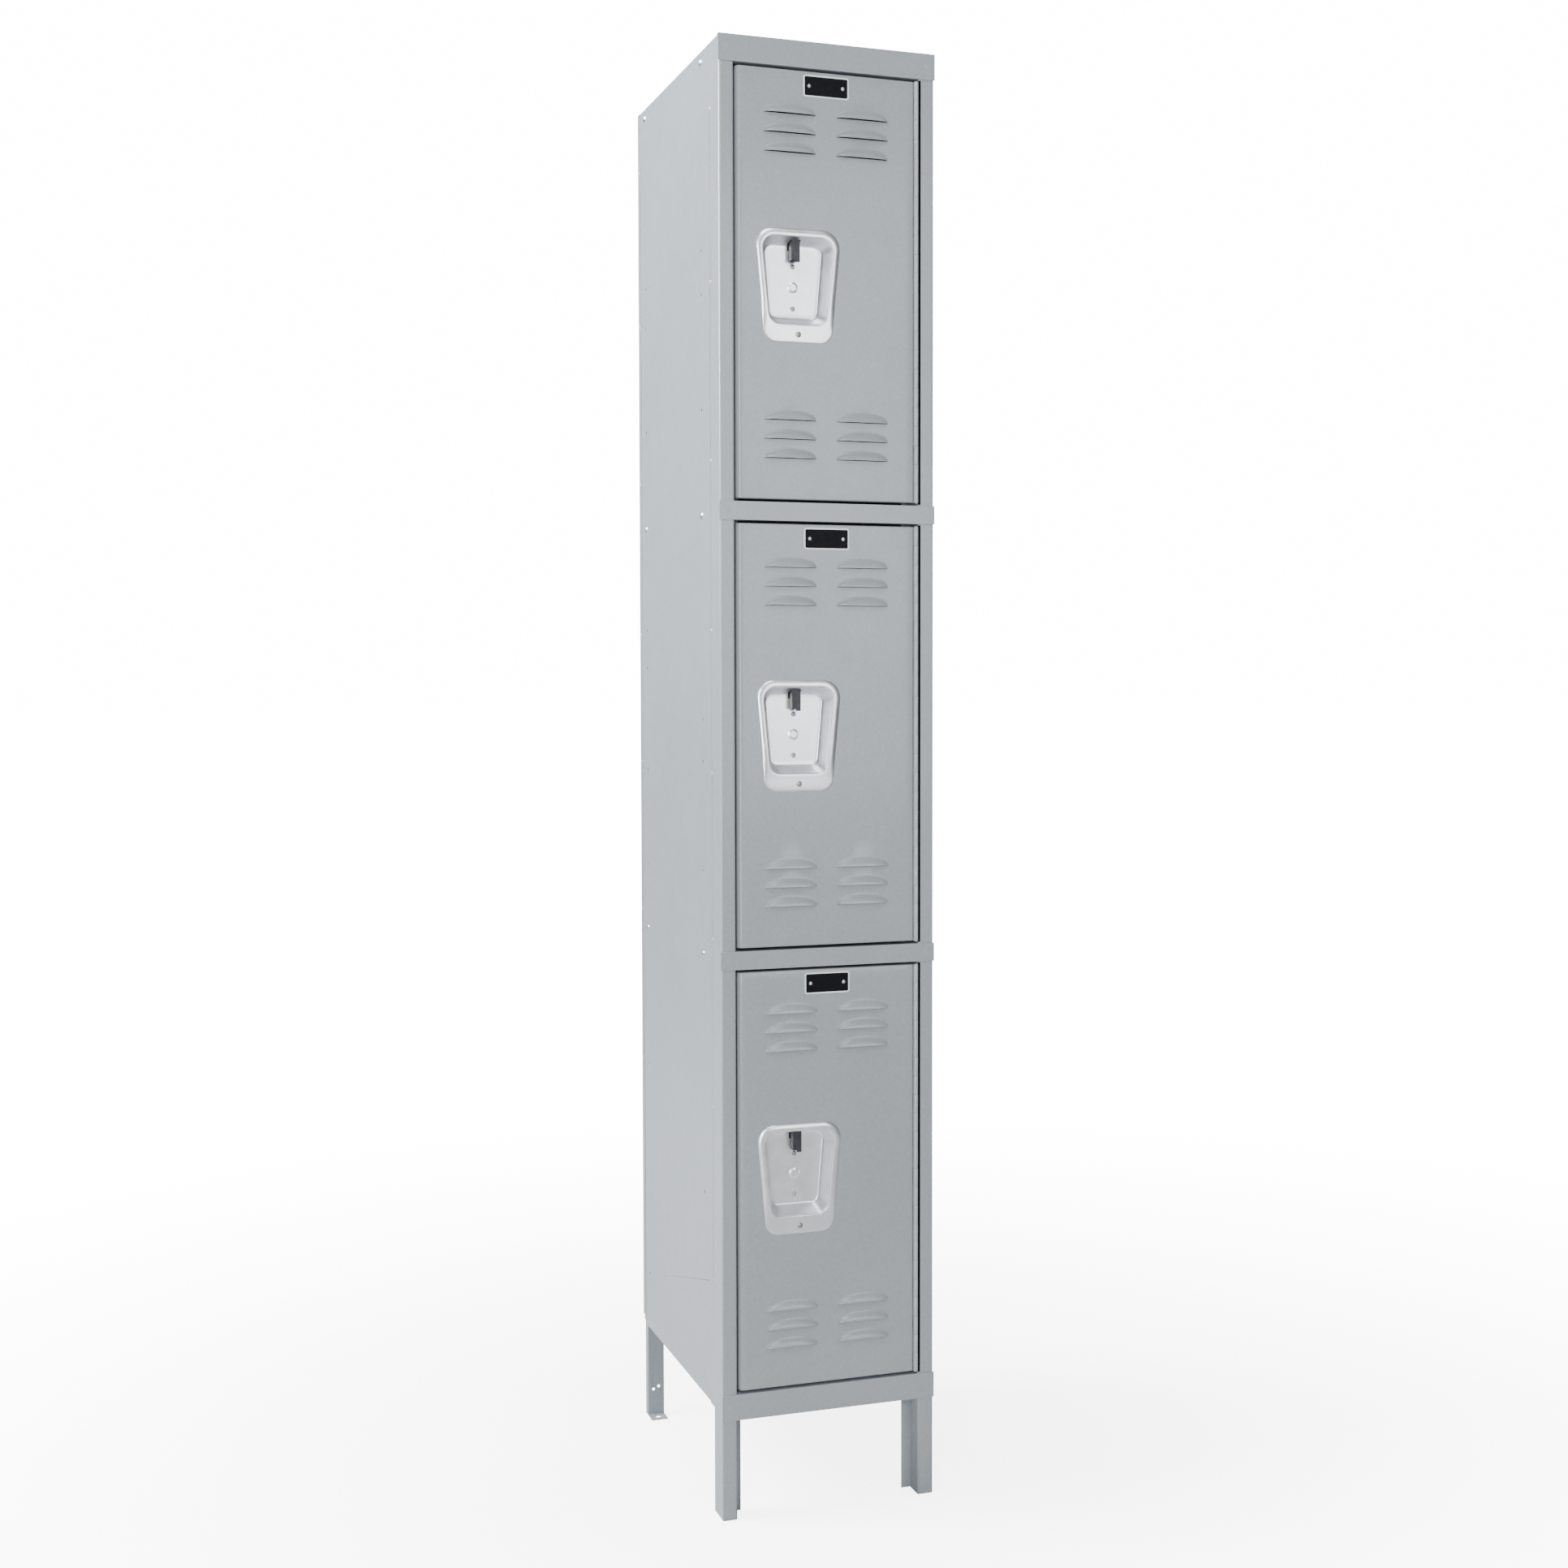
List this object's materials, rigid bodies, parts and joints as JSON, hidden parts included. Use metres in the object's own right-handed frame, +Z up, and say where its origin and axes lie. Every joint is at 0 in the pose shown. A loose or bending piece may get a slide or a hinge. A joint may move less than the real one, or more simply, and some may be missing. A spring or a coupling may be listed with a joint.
{
  "type": "locker cabinet",
  "caption": "Tall narrow steel locker on four legs, with hinged louvred doors one above another, each with a recessed handle cup and a sliding finger lift.",
  "frame": {"origin": "centre of the footprint, on the floor", "axes": "+Z up, doors face -Y, X across the front with the hinges at +X"},
  "size_m": [0.3054, 0.4628, 1.9812],
  "materials": {
    "paint_grey": "satin light grey enamel on sheet steel",
    "stainless": "satin drawn stainless steel",
    "zinc_plate": "bright zinc-plated steel",
    "dark_steel": "dark grey coated steel",
    "plate_black": "black enamelled aluminium with a bare border",
    "rubber_black": "matt rubber"
  },
  "bodies": {
    "cabinet": {"upright_left": "paint_grey", "upright_right": "paint_grey", "top_rail": "paint_grey", "middle_rail_upper": "paint_grey", "middle_rail_lower": "paint_grey", "bottom_rail": "paint_grey", "side_panel_left": "paint_grey", "side_panel_right": "paint_grey", "back_panel": "paint_grey", "top_panel": "paint_grey", "shelf_upper": "paint_grey", "shelf_lower": "paint_grey", "bottom_panel": "paint_grey", "rear_leg_left": "paint_grey", "rear_leg_right": "paint_grey", "frame_rivets": "paint_grey", "back_rivets": "paint_grey", "shelf_bolts": "zinc_plate", "shelf_nuts": "zinc_plate", "coat_hooks": "zinc_plate", "hook_rivets": "zinc_plate", "latch_strikes": "zinc_plate", "door_silencers": "rubber_black", "frame_hinge_leaf_1": "paint_grey", "hinge_pin_1": "zinc_plate", "frame_hinge_leaf_2": "paint_grey", "hinge_pin_2": "zinc_plate", "frame_hinge_leaf_3": "paint_grey", "hinge_pin_3": "zinc_plate"},
    "door_1": {"door_panel_1": "paint_grey", "door_hinge_leaf_1": "paint_grey", "recess_cup_1": "stainless", "cup_screws_1": "zinc_plate", "lock_hole_plug_1": "stainless", "number_plate_1": "plate_black", "plate_rivets_1": "zinc_plate", "latch_guide_1": "zinc_plate"},
    "lift_1": {"finger_lift_1": "dark_steel", "latch_bar_1": "dark_steel"},
    "door_2": {"door_panel_2": "paint_grey", "door_hinge_leaf_2": "paint_grey", "recess_cup_2": "stainless", "cup_screws_2": "zinc_plate", "lock_hole_plug_2": "stainless", "number_plate_2": "plate_black", "plate_rivets_2": "zinc_plate", "latch_guide_2": "zinc_plate"},
    "lift_2": {"finger_lift_2": "dark_steel", "latch_bar_2": "dark_steel"},
    "door_3": {"door_panel_3": "paint_grey", "door_hinge_leaf_3": "paint_grey", "recess_cup_3": "stainless", "cup_screws_3": "zinc_plate", "lock_hole_plug_3": "stainless", "number_plate_3": "plate_black", "plate_rivets_3": "zinc_plate", "latch_guide_3": "zinc_plate"},
    "lift_3": {"finger_lift_3": "dark_steel", "latch_bar_3": "dark_steel"}
  },
  "joints": [
    {"name": "door_1_hinge", "type": "hinge", "parent": "cabinet", "child": "door_1", "pos_m": [0.1256, -0.22585, 1.6587], "axis": [0, 0, 1], "range_deg": [0, 160]},
    {"name": "lift_1_slide", "type": "slide", "parent": "door_1", "child": "lift_1", "axis": [0, 0, 1], "range_m": [0, 0.01]},
    {"name": "door_2_hinge", "type": "hinge", "parent": "cabinet", "child": "door_2", "pos_m": [0.1256, -0.22585, 1.0587], "axis": [0, 0, 1], "range_deg": [0, 160]},
    {"name": "lift_2_slide", "type": "slide", "parent": "door_2", "child": "lift_2", "axis": [0, 0, 1], "range_m": [0, 0.01]},
    {"name": "door_3_hinge", "type": "hinge", "parent": "cabinet", "child": "door_3", "pos_m": [0.1256, -0.22585, 0.4587], "axis": [0, 0, 1], "range_deg": [0, 160]},
    {"name": "lift_3_slide", "type": "slide", "parent": "door_3", "child": "lift_3", "axis": [0, 0, 1], "range_m": [0, 0.01]}
  ]
}
